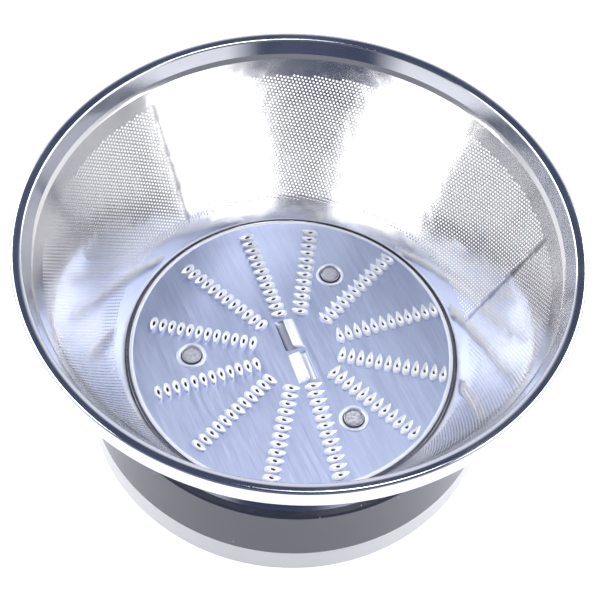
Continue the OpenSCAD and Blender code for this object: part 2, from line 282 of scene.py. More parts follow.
def start_group(name, inputs, outputs):
    """An empty node group with float or vector inputs (name: default) and float outputs."""
    tree = bpy.data.node_groups.new(name, "ShaderNodeTree")
    for key, default in inputs.items():
        kind = "NodeSocketVector" if default is None else "NodeSocketFloat"
        socket = tree.interface.new_socket(name=key, in_out="INPUT", socket_type=kind)
        if default is not None:
            socket.default_value = default
    for key in outputs:
        tree.interface.new_socket(name=key, in_out="OUTPUT", socket_type="NodeSocketFloat")
    return tree, tree.nodes.new("NodeGroupInput"), tree.nodes.new("NodeGroupOutput")


# %% Groups: brushing, specks, and painted highlights and shade
def make_brushing():
    """Straight brushed grain: noise drawn out twentyfold along X, at two widths, as a mask around 0.5."""
    tree, source, sink = start_group("brushing", {"Vector": None, "Width": 4000.0}, ["Grain"])
    drawn = add_node(tree, "ShaderNodeVectorMath", {0: source.outputs["Vector"], 1: (0.05, 1, 1)},
                     operation="MULTIPLY")
    fine = add_node(tree, "ShaderNodeTexNoise", {"Vector": drawn.outputs[0], "Detail": 3.0})
    tree.links.new(source.outputs["Width"], fine.inputs["Scale"])
    wide_scale = add_node(tree, "ShaderNodeMath", {0: source.outputs["Width"], 1: 0.3}, operation="MULTIPLY")
    wide = add_node(tree, "ShaderNodeTexNoise", {"Vector": drawn.outputs[0], "Scale": wide_scale.outputs[0]})
    both = add_node(tree, "ShaderNodeMath", {0: fine.outputs[0], 1: wide.outputs[0]}, operation="ADD")
    half = add_node(tree, "ShaderNodeMath", {0: both.outputs[0], 1: 0.5}, operation="MULTIPLY")
    tree.links.new(half.outputs[0], sink.inputs["Grain"])
    return tree


def make_specks():
    """Sparse round specks, 1 in the middle of a speck and 0 between them."""
    tree, source, sink = start_group("specks", {"Vector": None, "Scale": 300.0, "Size": 0.1}, ["Specks"])
    cells = add_node(tree, "ShaderNodeTexVoronoi", {"Vector": source.outputs["Vector"]})
    tree.links.new(source.outputs["Scale"], cells.inputs["Scale"])
    near = add_node(tree, "ShaderNodeMath", {0: cells.outputs["Distance"]}, operation="LESS_THAN")
    tree.links.new(source.outputs["Size"], near.inputs[1])
    tree.links.new(near.outputs[0], sink.inputs["Specks"])
    return tree


def make_painted_light_and_line():
    """Two masks from the tone that a mesh's points carry: the first, for painted highlights, goes from 0 to 1
    as tone rises from 0 to 1, and the second, for painted shade and the dark line between the filter's
    fields, as it falls from 0 to -1. On a mesh without tone both are 0."""
    tree, _, sink = start_group("painted_light_and_line", {}, ["Bright", "Shade_and_line"])
    tone = add_node(tree, "ShaderNodeAttribute", attribute_name="tone").outputs["Fac"]
    tree.links.new(remap(tree, tone, 0, 1, 0, 1), sink.inputs["Bright"])
    tree.links.new(remap(tree, tone, 0, -1, 0, 1), sink.inputs["Shade_and_line"])
    return tree


BRUSHING = make_brushing()
SPECKS = make_specks()
PAINTED_LIGHT_AND_LINE = make_painted_light_and_line()
print("groups:", ", ".join(group.name for group in (BRUSHING, SPECKS, PAINTED_LIGHT_AND_LINE)))


def use_group(tree, group, **inputs):
    """The outputs of a node group placed in a material, with its own values."""
    return add_node(tree, "ShaderNodeGroup", inputs, node_tree=group).outputs


def toned(tree, colour, highlight, shade_and_line):
    """A colour turned by the two masks of the group towards a light colour for painted highlights and towards
    a dark colour for painted shade and the filter's dark line. Returns the colour and the mask of the painted
    highlights."""
    painted_light_and_line = use_group(tree, PAINTED_LIGHT_AND_LINE)
    colour = mix_colours(tree, painted_light_and_line["Bright"], colour, highlight)
    return mix_colours(tree, painted_light_and_line["Shade_and_line"], colour, shade_and_line), painted_light_and_line["Bright"]


# %% [markdown]
# ## Finishes
# Rim and collar are polished, and the wall is bright rolled sheet with a slight waviness. The grater disc is
# brushed along one direction and looks slightly blue. A picture of brushed steel would repeat and blur close
# up, so the grain is noise drawn out in one direction, which stays sharp at any size. Rivets are matt and
# pitted. The black plastic has a gloss coat, and the white plastic is soft and satin.

# %% Polished steel of the rim and the collar
def polished_steel():
    material, tree, shader = new_material("polished_steel", Metallic=1.0)
    place = object_coords(tree)
    haze = noise(tree, place, 55.0, 3.0)
    tree.links.new(remap(tree, haze, 0.3, 0.7, 0.07, 0.15), shader.inputs["Roughness"])
    tint = mix_colours(tree, haze, (0.70, 0.72, 0.80, 1), (0.78, 0.80, 0.87, 1))
    tree.links.new(tint, shader.inputs["Base Color"])
    bump(tree, shader, noise(tree, place, 160.0, 2.0), 0.04, 0.0002)
    return material


# %% Bright rolled sheet of the filter wall
def filter_steel():
    material, tree, shader = new_material("filter_steel", Metallic=1.0)
    place = object_coords(tree)
    haze = noise(tree, place, 40.0, 3.0)
    tree.links.new(remap(tree, haze, 0.3, 0.7, 0.10, 0.19), shader.inputs["Roughness"])
    tint = mix_colours(tree, haze, (0.84, 0.84, 0.86, 1), (0.90, 0.89, 0.88, 1))
    tint, _ = toned(tree, tint, (0.95, 0.95, 0.95, 1), (0.10, 0.10, 0.12, 1))
    tree.links.new(tint, shader.inputs["Base Color"])
    bump(tree, shader, noise(tree, place, 90.0, 2.0), 0.35, 0.0004)
    return material


# %% Brushed blue-grey steel of the grater disc
BRUSH_ANGLE = math.radians(118)


def brushed_steel():
    material, tree, shader = new_material("brushed_steel", Metallic=1.0)
    place = object_coords(tree, turn_z=-BRUSH_ANGLE)
    grain = use_group(tree, BRUSHING, Vector=place, Width=3600.0)["Grain"]
    blotch = noise(tree, place, 30.0, 2.0)
    tree.links.new(remap(tree, grain, 0.35, 0.65, 0.38, 0.46), shader.inputs["Roughness"])
    grain_tint = mix_colours(tree, remap(tree, grain, 0.35, 0.65, 0, 1), (0.52, 0.59, 0.82, 1),
                             (0.62, 0.69, 0.92, 1))
    tint = mix_colours(tree, remap(tree, blotch, 0.35, 0.65, 0, 0.12), grain_tint, (0.70, 0.76, 0.93, 1))
    # The tone paints light and shade on the disc: painted highlights turn the humps of the teeth, the
    # cutters' ramps and the bead near white and less metallic, and painted shade darkens the holes, gaps and
    # sunk floors.
    tint, painted_glints = toned(tree, tint, (0.97, 0.98, 1.0, 1), (0.10, 0.10, 0.13, 1))
    tree.links.new(tint, shader.inputs["Base Color"])
    tree.links.new(remap(tree, painted_glints, 0, 1, 1.0, 0.15), shader.inputs["Metallic"])
    bump(tree, shader, grain, 0.09, 0.00004)
    return material


# %% Matt steel of the rivets, washers and screws
def rivet_steel():
    material, tree, shader = new_material("rivet_steel", Metallic=1.0)
    place = object_coords(tree)
    pits = noise(tree, place, 1500.0, 4.0, 0.6)
    tree.links.new(remap(tree, pits, 0.3, 0.7, 0.28, 0.55), shader.inputs["Roughness"])
    tint = mix_colours(tree, pits, (0.36, 0.38, 0.44, 1), (0.78, 0.79, 0.83, 1))
    # The tone paints shade under the rivet's head, round its edge and on its inner slope, and paints the
    # head's middle a little lighter.
    tint, _ = toned(tree, tint, (0.9, 0.9, 0.94, 1), (0.05, 0.05, 0.07, 1))
    tree.links.new(tint, shader.inputs["Base Color"])
    bump(tree, shader, pits, 0.5, 0.0001)
    return material


# %% Turned steel of the drive bush
def bush_steel():
    material, tree, shader = new_material("bush_steel", Metallic=1.0)
    place = object_coords(tree, stretch=(1, 1, 30))
    rings = noise(tree, place, 120.0, 3.0)
    tree.links.new(remap(tree, rings, 0.3, 0.7, 0.22, 0.40), shader.inputs["Roughness"])
    tint = mix_colours(tree, rings, (0.52, 0.53, 0.56, 1), (0.72, 0.73, 0.76, 1))
    tree.links.new(tint, shader.inputs["Base Color"])
    return material


# %% Glossy black plastic
def black_plastic():
    material, tree, shader = new_material("black_plastic", IOR=1.5, Coat_Weight=1.0)
    place = object_coords(tree)
    specks = use_group(tree, SPECKS, Vector=place, Scale=190.0, Size=0.045)["Specks"]
    cloud = noise(tree, place, 60.0, 3.0)
    body = mix_colours(tree, cloud, (0.026, 0.030, 0.058, 1), (0.034, 0.039, 0.070, 1))
    tree.links.new(mix_colours(tree, specks, body, (0.55, 0.55, 0.58, 1)), shader.inputs["Base Color"])
    tree.links.new(remap(tree, cloud, 0.3, 0.7, 0.16, 0.26), shader.inputs["Roughness"])
    bump(tree, shader, noise(tree, place, 900.0, 2.0), 0.06, 0.0001)
    return material


# %% White plastic
def white_plastic():
    material, tree, shader = new_material("white_plastic", IOR=1.46)
    place = object_coords(tree)
    cloud = noise(tree, place, 45.0, 3.0)
    tree.links.new(mix_colours(tree, cloud, (0.72, 0.715, 0.75, 1), (0.78, 0.775, 0.80, 1)),
                   shader.inputs["Base Color"])
    tree.links.new(remap(tree, cloud, 0.3, 0.7, 0.34, 0.46), shader.inputs["Roughness"])
    bump(tree, shader, noise(tree, place, 1400.0, 2.0), 0.08, 0.0001)
    return material


FINISHES = {make.__name__: make() for make in (polished_steel, filter_steel, brushed_steel, rivet_steel,
                                               bush_steel, black_plastic, white_plastic)}
print("finishes:", ", ".join(FINISHES))


def finish_piece(obj, slot, *replaced):
    """Gives a new piece the material that its slot names, hangs it on the root body and hides the CAD nodes
    it stands for.
    """
    obj.data.materials.append(FINISHES[slot])
    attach(obj, "root")
    if replaced:
        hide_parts(*replaced)
    print("%-22s %6d faces" % (obj.name, len(obj.data.polygons)))
    return obj


# %% [markdown]
# ## Finishes on the CAD nodes that stay
# The collar, the mouldings, the bush, the washers and the screws already have their true shape, so they
# aren't made again. They only get a better material in their slots.

# %% CAD nodes
for node, slot in (("foot_collar", "polished_steel"), ("carrier", "black_plastic"),
                   ("base_hub", "white_plastic"), ("drive_bush", "bush_steel"),
                   ("rivet_washers", "rivet_steel"), ("base_screws", "rivet_steel")):
    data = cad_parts[node].data
    data.materials.clear()
    data.materials.append(FINISHES[slot])
    print("%-22s %s" % (node, slot))

# %% [markdown]
# ## The rolled rim
# A strip of steel is rolled into a channel that closes over the wall's top edge. It could be bent from a
# tube, but every section of it is the same, so a lathe profile is the natural way: skirt with a small curl at
# its lower edge, rounded shoulder, a crown that sinks gently inwards, a tight bend and the lip.

# %% Rim
def straight(x0, z0, x1, z1):
    """Points along a straight stretch, close to its ends, so that shading stays flat between two arcs."""
    share = np.array([0.04, 0.5, 0.96])
    return np.stack([x0 + (x1 - x0) * share, z0 + (z1 - z0) * share], -1)


def rim_profile():
    """Outline of the rolled channel, anticlockwise: outside from the curl up to the crown, which sinks gently
    inwards, down the lip, then back along the inside of the sheet. Both faces of a bend share its centre."""
    lip = RIM_R - RIM_W
    curl = RIM_CURL / 2
    curl_x, curl_z = RIM_R - curl, SKIRT_Z + curl
    out_x, out_z = RIM_R - RIM_ROUND, RIM_TOP - RIM_ROUND
    crown_x, crown_z = out_x - CROWN_SHIFT, RIM_TOP - CROWN_R
    knee_x = crown_x - (CROWN_R - KNEE_ROUND) * math.sin(math.radians(CROWN_DEG))
    knee_z = crown_z + (CROWN_R - KNEE_ROUND) * math.cos(math.radians(CROWN_DEG))
    crown_end = 90 + CROWN_DEG
    bend = arc_points(knee_x, knee_z, KNEE_ROUND, crown_end, KNEE_END_DEG, 8)
    return np.concatenate([
        arc_points(curl_x, curl_z, curl, -180, 0, 14),
        straight(RIM_R, curl_z, RIM_R, out_z),
        arc_points(out_x, out_z, RIM_ROUND, 0, 90, 12),
        arc_points(crown_x, crown_z, CROWN_R, 90, crown_end, 6), bend[1:],
        straight(*bend[-1], lip, LIP_Z),
        [[lip, LIP_Z], [lip + RIM_SHEET, LIP_Z]],
        arc_points(knee_x, knee_z, KNEE_ROUND - RIM_SHEET, KNEE_END_DEG, crown_end, 4),
        arc_points(crown_x, crown_z, CROWN_R - RIM_SHEET, crown_end, 90, 3),
        arc_points(out_x, out_z, RIM_ROUND - RIM_SHEET, 90, 0, 6),
        arc_points(curl_x, curl_z, curl - RIM_SHEET, 0, -180, 8)])


finish_piece(ring("rolled_rim", rim_profile()), "polished_steel", "rim_ring")

# %% [markdown]
# ## The etched filter sheet
# Cutting thousands of holes with booleans would be slow, and a pattern of holes in the material would have no
# thickness. Laid flat, the wall is a sector of a ring, and its holes stand on a straight grid of hexagons. So
# each cell of the grid is made in the flat sheet and then rolled up: distance from the cone's apex stays
# distance along the wall, and the angle in the flat sheet opens out to the angle round the axis. The artwork
# repeats three times, with an unetched line between the repeats. Cells outside the etched field are plain
# hexagons, and their outer corners are pulled onto the sheet's edge, so it ends in a clean line.

# %% Filter sheet
HOLE_PITCH = 1.2 * MM
HOLE_R = 0.37 * MM
FIELD_TOP_Z = RIM_TOP - 10.9 * MM
FIELD_LOW_Z = FLOOR_Z + 6.7 * MM
FIELDS = 3
SEAM_ANGLE = math.radians(69.8)
SEAM_W = 6.2 * MM
FIELD_TURN = math.radians(71.8)                      # middle of the field that holds the welded seam
SEAM_MARGIN = 0.3 * HOLE_PITCH                       # plain sheet on both sides of the seam
FIELD_MARGIN = 0.9 * HOLE_PITCH                      # plain sheet on both sides of the line between fields
LINE_HALF = 0.4 * HOLE_PITCH                         # half width of the dark line itself
LINE_TONE = -0.5
SIN_LEAN, COS_LEAN = math.sin(WALL_LEAN), math.cos(WALL_LEAN)
APEX_Z = DISC_UNDER - FOOT_R / math.tan(WALL_LEAN)
SHEET_LOW_Z = DISC_UNDER
SHEET_TOP_Z = LIP_Z - WALL_STEP


def polar(flat):
    """Slant distance and flat angle of points (x, y) in the flat sheet."""
    return np.hypot(flat[..., 0], flat[..., 1]), np.arctan2(flat[..., 0], flat[..., 1])


def roll_up(flat, middle, lift=0.0):
    """Flat points (x, y) about the apex rolled into the cone. Slant distance s and flat angle p give radius
    s sin(lean), height apex + s cos(lean), and turn p / sin(lean). lift moves a point along the normal."""
    s, p = polar(flat)
    turn = middle + p / SIN_LEAN
    r = s * SIN_LEAN + lift * COS_LEAN
    z = APEX_Z + s * COS_LEAN - lift * SIN_LEAN
    return np.stack([r * np.cos(turn), r * np.sin(turn), z], -1)


def slant(z):
    """Distance from the apex to height z, along the wall."""
    return (z - APEX_Z) / COS_LEAN


# %% Cells of one field
# Corners and middles of the cells lie on a fine lattice, half a pitch by a pitch over 2 root 3.
LATTICE = np.array((HOLE_PITCH / 2, HOLE_PITCH / (2 * math.sqrt(3))))
CORNER_STEPS = np.array([(1, 1), (0, 2), (-1, 1), (-1, -1), (0, -2), (1, -1)])
NEXT = np.roll(np.arange(6), -1)                     # the corner that follows each of the six


def field_cells(half):
    """Hexagonal cells that reach into a field whose flat angle is half to each side. Returns the middles of
    the cells, the corners that neighbours share, and six numbers of corners for each cell."""
    s_lo, s_hi = slant(SHEET_LOW_Z), slant(SHEET_TOP_Z)
    row_step = 3 * LATTICE[1]
    columns = int(s_hi * math.sin(half) / HOLE_PITCH) + 3
    rows = np.arange(int(s_lo * math.cos(half) / row_step) - 2, int(s_hi / row_step) + 3)
    i, j = np.meshgrid(np.arange(-columns, columns + 1), rows)
    centre = np.stack([2 * i + (j & 1), 3 * j], -1).reshape(-1, 2)
    corners = centre[:, None, :] + CORNER_STEPS
    s, p = polar(corners * LATTICE)
    keep = ((s > s_lo) & (s < s_hi) & (abs(p) < half)).any(1)
    keys, ids = np.unique(corners[keep].reshape(-1, 2), axis=0, return_inverse=True)
    return centre[keep] * LATTICE, keys * LATTICE, ids.reshape(-1, 6)


def cells_with_holes(middles, middle, half, has_seam):
    """True for each cell that is etched: between the field's upper and lower edge, clear of the line between
    fields and, in the field that has the seam, clear of that too."""
    s, p = polar(middles)
    from_line = s * np.sin(half - abs(p))
    etched = (s > slant(FIELD_LOW_Z)) & (s < slant(FIELD_TOP_Z)) & (from_line > FIELD_MARGIN)
    past_seam = (middle + p / SIN_LEAN - SEAM_ANGLE) * s * SIN_LEAN
    in_seam = (past_seam > -SEAM_MARGIN) & (past_seam < SEAM_W + SEAM_MARGIN)
    return etched & ~(in_seam & has_seam)


# %% Faces of one field
def field_faces(cells, etched, hole_ids, corner_count, front_count):
    """Polygons of a field: six quads round each hole and one hexagon for each plain cell, on both faces of
    the sheet, the walls of the holes, and a border along the edges that only one cell has."""
    cell, plain = cells[etched], cells[~etched]
    web = np.stack([cell, cell[:, NEXT], hole_ids[:, NEXT], hole_ids], -1).reshape(-1, 4)
    wall = np.stack([hole_ids, hole_ids[:, NEXT], hole_ids[:, NEXT] + front_count, hole_ids + front_count],
                    -1).reshape(-1, 4)
    sides = np.concatenate([web[:, [0, 1]], web[:, [1, 2]], web[:, [2, 3]], web[:, [3, 0]],
                            np.stack([plain, plain[:, NEXT]], -1).reshape(-1, 2)])
    _, where, count = np.unique(np.sort(sides, 1), axis=0, return_index=True, return_counts=True)
    outer = sides[where[count == 1]]
    outer = outer[(outer < corner_count).all(1)]
    border = np.concatenate([outer[:, ::-1], outer + front_count], 1)
    groups = [web, web[:, ::-1] + front_count, wall, plain, plain[:, ::-1] + front_count, border]
    return [faces[:, ::-1] for faces in groups]


# %% Put the fields together
def filter_field(name, index):
    """One etched field: its cells in the flat sheet, corners outside the sheet pulled onto its edge, rolled
    up twice, a sheet's thickness apart. The tone marks the dark line between two fields."""
    middle = FIELD_TURN + index * 2 * math.pi / FIELDS
    half = math.pi / FIELDS * SIN_LEAN
    middles, corners, cells = field_cells(half)
    s, p = polar(corners)
    s = np.clip(s, slant(SHEET_LOW_Z), slant(SHEET_TOP_Z))
    p = np.clip(p, -half, half)
    corners = np.stack([s * np.sin(p), s * np.cos(p)], -1)
    etched = cells_with_holes(middles, middle, half, index == 0)
    to_hole = HOLE_R * math.sqrt(3) / HOLE_PITCH     # a hole's size as a share of its cell's
    holes = middles[etched][:, None, :] + CORNER_STEPS * LATTICE * to_hole
    flat = np.concatenate([corners, holes.reshape(-1, 2)])
    hole_ids = len(corners) + np.arange(len(holes) * 6).reshape(-1, 6)
    groups = field_faces(cells, etched, hole_ids, len(corners), len(flat))
    points = np.concatenate([roll_up(flat, middle), roll_up(flat, middle, WALL_SHEET)])
    height = points[:, 2]
    on_line = np.tile((half - abs(polar(flat)[1])) * slant(FIELD_TOP_Z) < LINE_HALF, 2)
    tone = np.where(on_line & (height > FIELD_LOW_Z) & (height < FIELD_TOP_Z), LINE_TONE, 0.0)
    print(name, "holes:", len(holes))
    return put_mesh(name, points, groups, 50, tone=tone)


for index in range(FIELDS):
    finish_piece(filter_field("filter_field_%d" % (index + 1), index), "filter_steel", "filter_wall")

# %% [markdown]
# ## The edges of the wall
# Above the etched sheet the wall steps out behind the rim's lip and stands against the crown. Below it turns
# in under the disc as a flat flange. They have no holes, so they are turned profiles like the rim.

# %% Top step and foot flange
def top_step_profile():
    """Wall sheet from the end of the etched fields, out behind the lip and up to the crown."""
    step_r = RIM_R - RIM_W + RIM_SHEET + 2 * SEAT_GAP
    top_r = RIM_R - WALL_TOP_INSET
    low, top = SHEET_TOP_Z, RIM_TOP - RIM_SHEET - 2 * SEAT_GAP
    return np.array([[wall_r(low) + WALL_T, low], [step_r + WALL_T, LIP_Z - SEAT_GAP],
                     [top_r + WALL_T, top], [top_r, top], [step_r, LIP_Z - SEAT_GAP], [wall_r(low), low]])


def foot_flange_profile():
    """Flat flange under the disc, from the foot of the wall inwards."""
    return np.array([[FOOT_R - FLANGE_W, FLANGE_Z], [wall_r(FLANGE_Z) + WALL_T, FLANGE_Z],
                     [FOOT_R + WALL_T, DISC_UNDER], [FOOT_R - FLANGE_W, DISC_UNDER]])


finish_piece(ring("wall_top_step", top_step_profile()), "filter_steel", "filter_wall")
finish_piece(ring("wall_foot_flange", foot_flange_profile()), "filter_steel", "filter_wall")

# %% [markdown]
# ## The grater disc
# The disc is pressed from sheet. A punch from below bursts it open in twelve rows, and each burst leaves a
# small crater: a round hump behind, a hole, and a sharp spike that points the way the basket turns. Two wide
# cutters in the middle are slit and bent. Displacing one fine grid would take far more faces for the same
# edges, so each crater is a few outlines, one inside the other, and a few dozen faces. The flat sheet between
# them is triangulated with every outline as a hole in it, and where they meet, both use the same points.

# %% Layout of the disc
# The punched pattern sits a little off the disc's own middle, and two rows lean away from the rivets beside
# them, so each row has its own place: its direction in degrees, then, in mm, how far the crests of its humps
# pass the axis (anticlockwise is positive) and how far out along that direction its first crest is.
ROWS = ((143.0, -1.18, 12.7), (113.8, -2.02, 13.3), (87.9, -2.77, 14.0), (53.9, -2.76, 15.5),
        (23.7, -2.36, 16.1), (352.7, -1.13, 16.2), (322.9, 0.14, 16.1), (288.4, 1.28, 15.6),
        (263.5, 1.01, 15.2), (232.8, 1.41, 13.8), (204.5, 1.00, 12.7), (172.5, -0.12, 12.4))
TEETH = 12
TOOTH_PITCH = 2.93 * MM
PATTERN_MIDDLE = (1.44 * MM, -0.86 * MM)
RIVETS = 3
RIVET_CIRCLE_R = 31.8 * MM
RIVET_ANGLE = math.radians(71)
RIVET_RING_R = 4.85 * MM
RIVET_RING_H = 0.5 * MM
RIVET_BORE_R = 2.1 * MM
BEAD_R = 0.55 * MM
BEAD_W = 1.25 * MM
BEAD_H = 0.16 * MM
BEAD_GAP = 0.25 * MM                                 # the disc stays this far inside the CAD disc's edge
# The bead's inner slope: how far in from the edge, in mm, and what share of the bead's height is left.
BEAD_SLOPE = ((0.8, 0.85), (1.05, 0.35))
# Tone of each point of the edge: painted shade on its side and underside, in the gap against the wall, and a
# painted highlight over the bead.
BEAD_TONES = (-1, -1, -0.2, 0.8, 0.8, 0.8, 0.8, 0.8, 0.8, 0.5, 0)
DISC_AROUND = 240
WELD_GRID = 0.002 * MM                               # points that round to one place on it become one
print("teeth:", TEETH * len(ROWS))


# %% One tooth
TOOTH_POINTS = 12
# Outlines of a tooth from the sheet inwards. Each gives, in mm: v of the round back and of the tip, the half
# width, and the height at the back, along the sides and at the tip.
TOOTH_RINGS = ((-2.10, 3.00, 1.38, 0.0, 0.0, 0.0), (-1.98, 3.15, 1.31, 0.80, 0.45, 0.50),
               (-1.35, 3.55, 1.05, 1.50, 0.95, 1.75), (-0.10, 1.50, 0.40, 1.25, 0.70, 0.80),
               (-0.40, 1.40, 0.55, 0.0, 0.0, 0.0), (-0.40, 1.40, 0.55, -0.8, -0.8, -0.8))
# Tone of each outline: painted highlight on the hump and the spike, painted shade down in the hole.
TOOTH_TONES = (0.0, 1.0, 1.0, 0.8, -0.6, -1.0)
HUMP_V = -0.95 * MM                                  # where the eye takes a hump's crest to be
DROP_WIDEN = 1.12                                    # brings a drop's widest place to about the half width


def tooth_rings():
    """Points of one tooth, ring by ring. With t going round from the tip, v runs from tip to back as the
    cosine of t, and u is the half width times sin t and the root of sin(t/2), which makes a drop. The height
    is that of the sides, drawn up at the back by the square and at the tip by the cube of the nearness."""
    t = np.linspace(0, 2 * math.pi, TOOTH_POINTS, endpoint=False)
    back, tip, half, back_z, side_z, tip_z = (np.array(c)[:, None] * MM for c in zip(*TOOTH_RINGS))
    share = (1 + np.cos(t)) / 2
    u = half * np.sin(t) * np.sqrt(np.sin(t / 2)) * DROP_WIDEN
    v = back + (tip - back) * share
    z = side_z + (back_z - side_z) * (1 - share) ** 2 + (tip_z - side_z) * share ** 3
    return np.stack([u, v, z], -1)


def place_round(points, radius, angle):
    """Local points (u outwards, v anticlockwise, z above the sheet) moved out to a radius and turned to an
    angle about the axis. A radius given as two numbers moves the points along both u and v."""
    along, across = radius if isinstance(radius, tuple) else (radius, 0.0)
    x, y = points[..., 0] + along, points[..., 1] + across
    c, s = math.cos(angle), math.sin(angle)
    return np.stack([x * c - y * s, x * s + y * c, points[..., 2] + FLOOR_Z], -1)


# %% One middle cutter
CUTTER_ANGLE = math.radians(113.3)
CUTTER_START = 0.7 * MM
CUTTER_LEN = 11.6 * MM
CUTTER_HALF = 3.15 * MM
CUTTER_END = 0.9 * MM
# Section of a cutter from its clockwise to its anticlockwise side, as (v, z) in mm: the ramp, the blade's
# edge, back under the ramp, then forward along the sunk floor.
CUTTER_SECTION = ((-3.15, 0.0), (-2.9, 0.30), (-2.4, 0.66), (-1.7, 0.98), (-0.9, 1.24), (-0.1, 1.44),
                  (0.5, 1.52), (0.62, 1.40), (0.5, 1.12), (-0.4, 0.90), (-1.4, 0.50), (-2.0, 0.0),
                  (-2.2, -0.5), (-1.2, -0.58), (0.4, -0.6), (1.8, -0.58), (2.5, -0.45), (2.95, -0.12),
                  (3.15, 0.0))
# Tone of each point of the section: painted highlight on the ramp, its blade's edge and the middle of the
# sunk floor, painted shade under the ramp and at the floor's ends.
CUTTER_TONES = (0, 0.5, 0.9, 1, 0.9, 0.7, 1, -0.7, -1, -1, -1, -1, -0.8, 0.1, 0.5, 0.5, -0.3, -0.9, 0)
CUTTER_FADE = (0, .3, .7, 1, 1, 1, 1, 1, 1, .7, .3, 0)  # share of the tone along the cutter's length


def cutter_grid():
    """Points (u, v, z) of a cutter: rows along its length, columns along its section. At both ends the
    section unfolds to a straight line in the sheet, over a length CUTTER_END and by the root of a smooth
    step, which opens quickly."""
    section = np.array(CUTTER_SECTION) * MM
    unfolded = np.stack([np.linspace(-CUTTER_HALF, CUTTER_HALF, len(section)), 0 * section[:, 0]], -1)
    ends = np.linspace(0, 1, 6)
    u = np.concatenate([ends * CUTTER_END, CUTTER_LEN - ends[::-1] * CUTTER_END])
    to_end = np.clip(np.minimum(u, CUTTER_LEN - u) / CUTTER_END, 0, 1)
    fold = np.sqrt(to_end * to_end * (3 - 2 * to_end))[:, None, None]
    v, z = np.moveaxis(unfolded + (section - unfolded) * fold, -1, 0)
    return np.stack([np.broadcast_to((CUTTER_START + u)[:, None], v.shape), v, z], -1)


# %% The ring pressed around a rivet
RIVET_AROUND = 48
# Tone of each row: painted highlight over the ring's crown, painted shade at its inner foot and in the bore.
RING_TONES = (0, 0.2, 0.6, 0.6, 0.5, 0.2, -0.7, -1, -1)


def rivet_ring_rows():
    """Rows of points round a rivet from the ring's outer foot, over its crown, down inside to the sheet and
    through the rivet's bore."""
    crown = RIVET_RING_H
    section = np.array([(RIVET_RING_R, 0), (RIVET_RING_R - 0.2 * MM, 0.5 * crown),
                        (RIVET_RING_R - 0.45 * MM, 0.9 * crown), (RIVET_RING_R - 0.75 * MM, crown),
                        (RIVET_RING_R - 1.1 * MM, 0.8 * crown), (RIVET_RING_R - 1.4 * MM, 0.35 * crown),
                        (RIVET_RING_R - 1.6 * MM, 0), (RIVET_BORE_R, -0.1 * MM),
                        (RIVET_BORE_R, -DISC_SHEET)])
    t = np.linspace(0, 2 * math.pi, RIVET_AROUND, endpoint=False)
    r, z = section[:, :1], section[:, 1:]
    return np.stack([r * np.cos(t), r * np.sin(t), z + 0 * t], -1)


# %% The flat sheet between the craters
def sheet_faces(outer, holes):
    """Triangles of a flat sheet between a round outer outline and the holes in it: a constrained Delaunay
    triangulation, without the triangles that fill a hole. Returns points in 2-D and triangles."""
    outlines = [outer] + holes
    points = np.concatenate(outlines)
    starts = np.cumsum([0] + [len(o) for o in outlines])
    edges = [(int(a), int(b)) for first, o in zip(starts, outlines)
             for a, b in zip(first + np.arange(len(o)), first + np.roll(np.arange(len(o)), -1))]
    scaled = [Vector(p) for p in (points * 1000).tolist()]
    result = delaunay_2d_cdt(scaled, edges, [], 0, 1e-7)
    tris = np.array(result[2])
    source = np.array([origins[0] for origins in result[3]])
    co = points[source]
    owner = np.searchsorted(starts, source, side="right") - 1
    same = (owner[tris] == owner[tris][:, :1]).all(1) & (owner[tris][:, 0] > 0)
    return co, tris[~in_own_hole(co[tris].mean(1), owner[tris][:, 0], outlines, same)]


def in_own_hole(middle, owner, outlines, same):
    """True where a triangle whose corners share one outline has its middle inside that outline, by counting
    the outline's edges that a line from the middle along X crosses."""
    inside = np.zeros(len(middle), bool)
    for number in np.unique(owner[same]):
        pick = same & (owner == number)
        a = outlines[number]
        b = np.roll(a, -1, axis=0)
        p = middle[pick][:, None, :]
        straddles = (a[:, 1] > p[..., 1]) != (b[:, 1] > p[..., 1])
        rise = np.where(b[:, 1] == a[:, 1], 1, b[:, 1] - a[:, 1])
        cross_x = a[:, 0] + (p[..., 1] - a[:, 1]) / rise * (b[:, 0] - a[:, 0])
        inside[pick] = (straddles & (p[..., 0] < cross_x)).sum(1) % 2 == 1
    return inside


# %% Put the disc together
def disc_edge():
    """Profile of the disc's edge, from the underside up, over the bead and down to the flat sheet."""
    r = DISC_R - BEAD_GAP
    slope = [[r - inward * MM, FLOOR_Z + share * BEAD_H] for inward, share in BEAD_SLOPE]
    return np.concatenate([[[r - 0.2 * MM, DISC_UNDER]],
                           arc_points(r - BEAD_R, FLOOR_Z + BEAD_H - BEAD_R, BEAD_R, 0, 90, 6),
                           slope, [[r - BEAD_W, FLOOR_Z]]])


